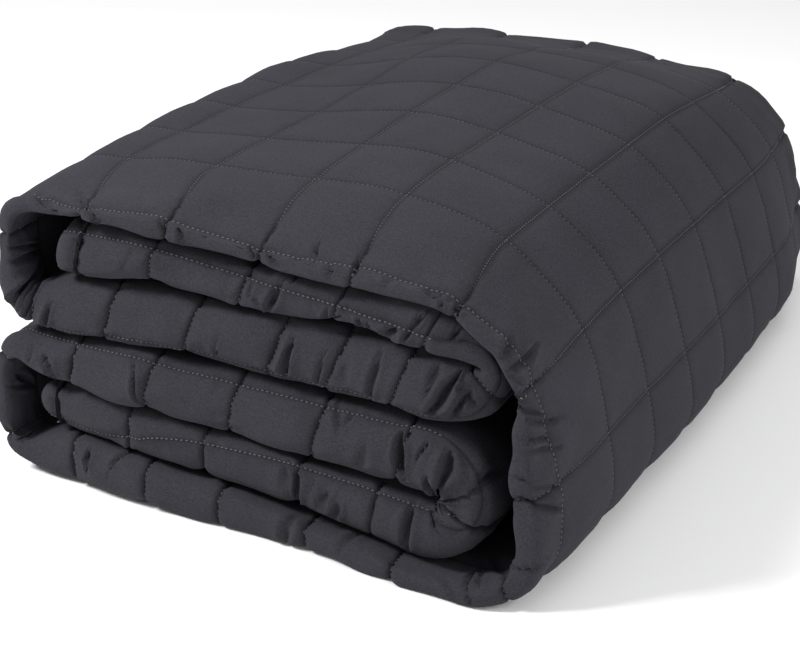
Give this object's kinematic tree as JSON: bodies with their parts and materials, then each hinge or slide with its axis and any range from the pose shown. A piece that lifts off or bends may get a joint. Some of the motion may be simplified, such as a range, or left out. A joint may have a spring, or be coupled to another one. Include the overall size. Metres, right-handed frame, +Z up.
{
  "type": "weighted blanket",
  "caption": "Quilted weighted blanket, folded and wrapped into a soft rectangular stack of layers that rests flat, as it is stored or displayed.",
  "frame": {"origin": "centre of the footprint, on the surface that the blanket rests on", "axes": "+X along the front from the open left folds to the wrapped right side, +Y from the front folds to the back folds, +Z up"},
  "size_m": [0.3658, 0.5248, 0.1882],
  "materials": {
    "charcoal_cloth": "matt fine weave, quilted in squares, stitched in its own colour"
  },
  "bodies": {
    "root": {"blanket": "charcoal_cloth"}
  },
  "joints": []
}
